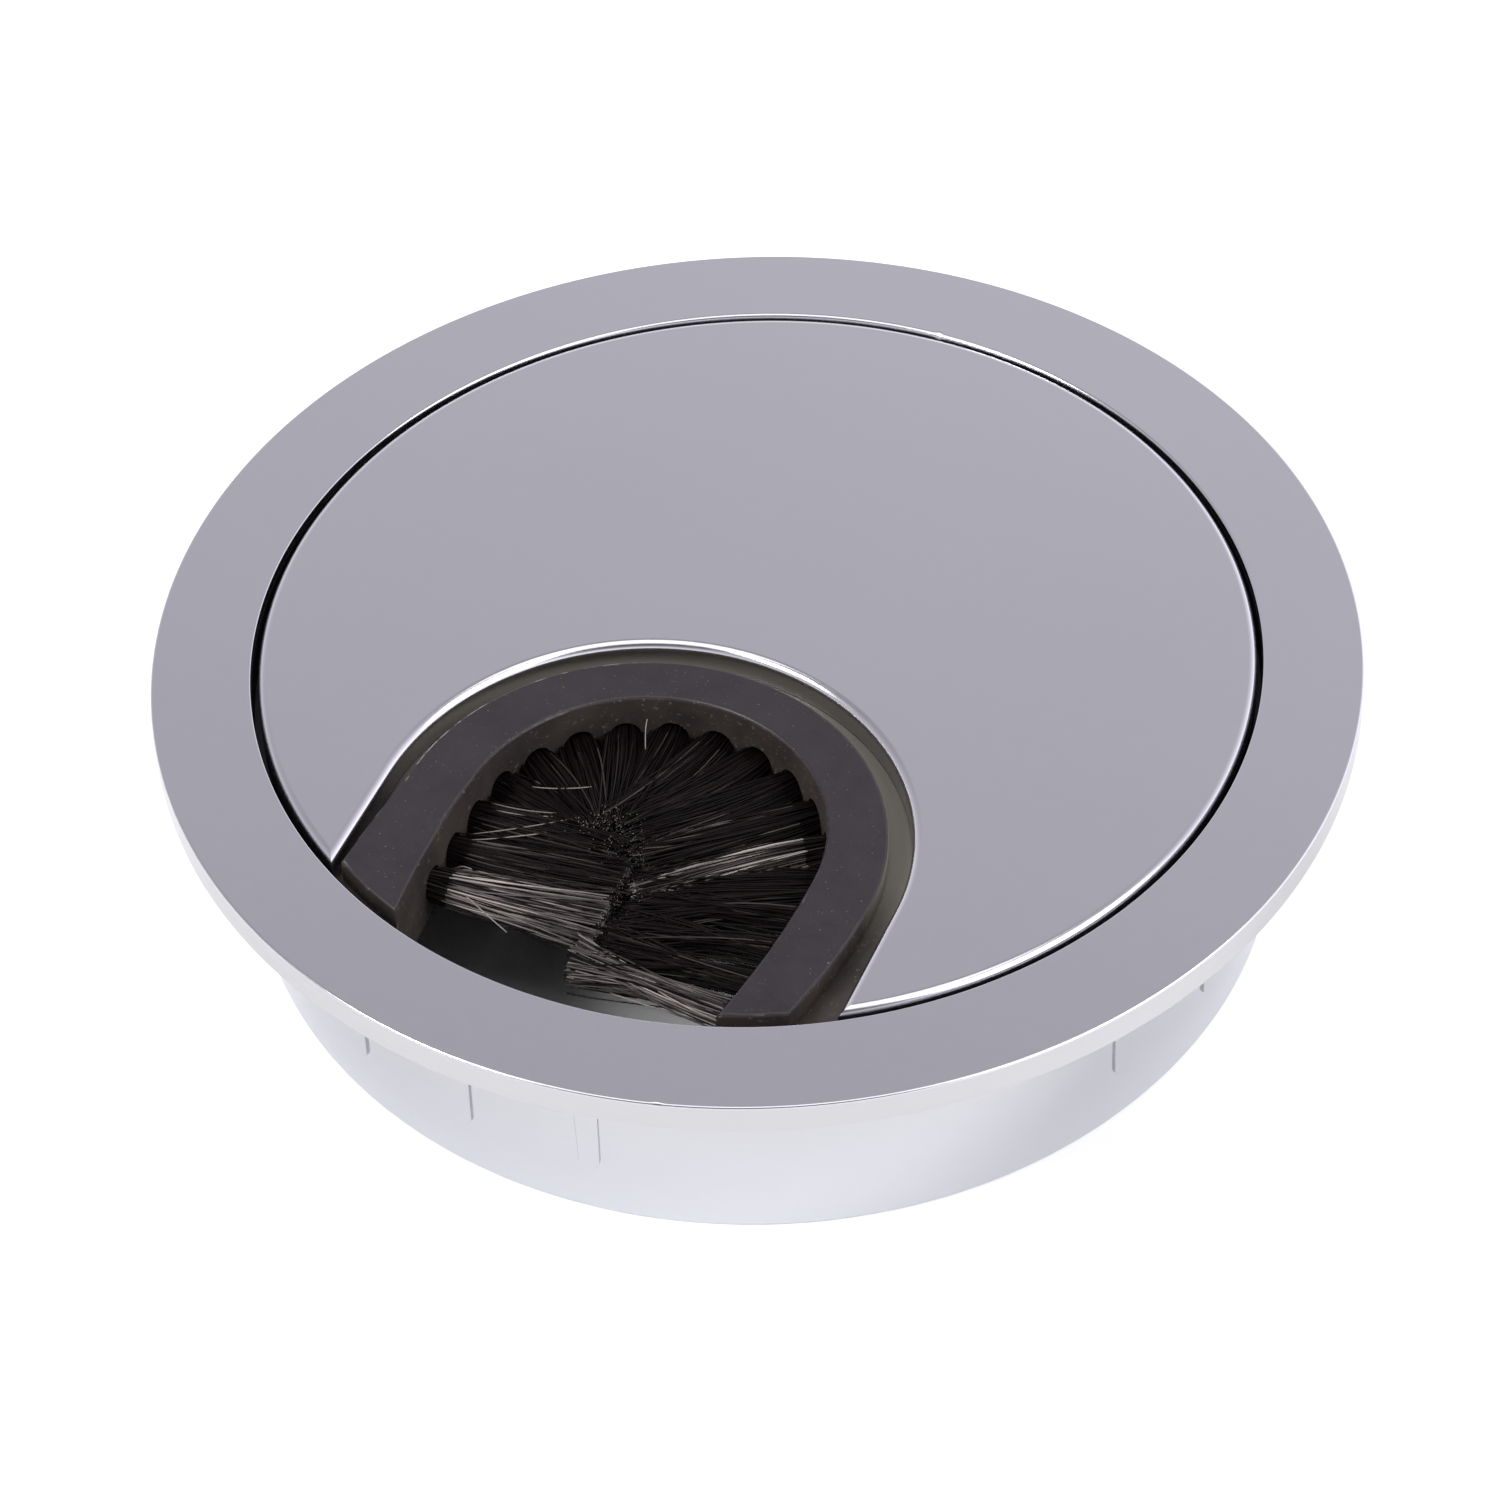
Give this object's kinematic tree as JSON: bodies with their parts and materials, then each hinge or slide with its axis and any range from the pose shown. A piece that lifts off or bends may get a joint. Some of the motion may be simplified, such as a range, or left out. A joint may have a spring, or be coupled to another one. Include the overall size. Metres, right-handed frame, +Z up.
{
  "type": "desk grommet",
  "caption": "Round desk cable grommet: a flanged metal ring, a lid with a U-shaped notch that turns and lifts off, and a brush insert that closes round the cables.",
  "frame": {"origin": "centre of the ring's bottom rim", "axes": "+Z up along the ring's axis, out of the desk; the lid's cable notch opens towards -Y at rest"},
  "size_m": [0.0904, 0.0904, 0.02],
  "materials": {
    "ring_metal": "satin",
    "lid_metal": "satin",
    "carrier_plastic": "satin moulded",
    "anchor_steel": "bright wire",
    "bristle_nylon": "drawn filament"
  },
  "bodies": {
    "ring": {"base_ring": "ring_metal"},
    "brush": {"brush_carrier": "carrier_plastic", "tuft_anchors": "anchor_steel", "bristle_tuft_01": "bristle_nylon", "bristle_tuft_02": "bristle_nylon", "bristle_tuft_03": "bristle_nylon", "bristle_tuft_04": "bristle_nylon", "bristle_tuft_05": "bristle_nylon", "bristle_tuft_06": "bristle_nylon", "bristle_tuft_07": "bristle_nylon", "bristle_tuft_08": "bristle_nylon", "bristle_tuft_09": "bristle_nylon", "bristle_tuft_10": "bristle_nylon", "bristle_tuft_11": "bristle_nylon", "bristle_tuft_12": "bristle_nylon", "bristle_tuft_13": "bristle_nylon", "bristle_tuft_14": "bristle_nylon", "bristle_tuft_15": "bristle_nylon", "bristle_tuft_16": "bristle_nylon", "bristle_tuft_17": "bristle_nylon", "bristle_tuft_18": "bristle_nylon"},
    "cover": {"lid": "lid_metal"}
  },
  "joints": [
    {"name": "lid_turn", "type": "hinge", "parent": "ring", "child": "brush", "pos_m": [0, 0, 0.0165], "axis": [0, 0, 1], "continuous": true},
    {"name": "lid_lift", "type": "slide", "parent": "brush", "child": "cover", "axis": [0, 0, 1], "range_m": [0, 0.03]}
  ]
}
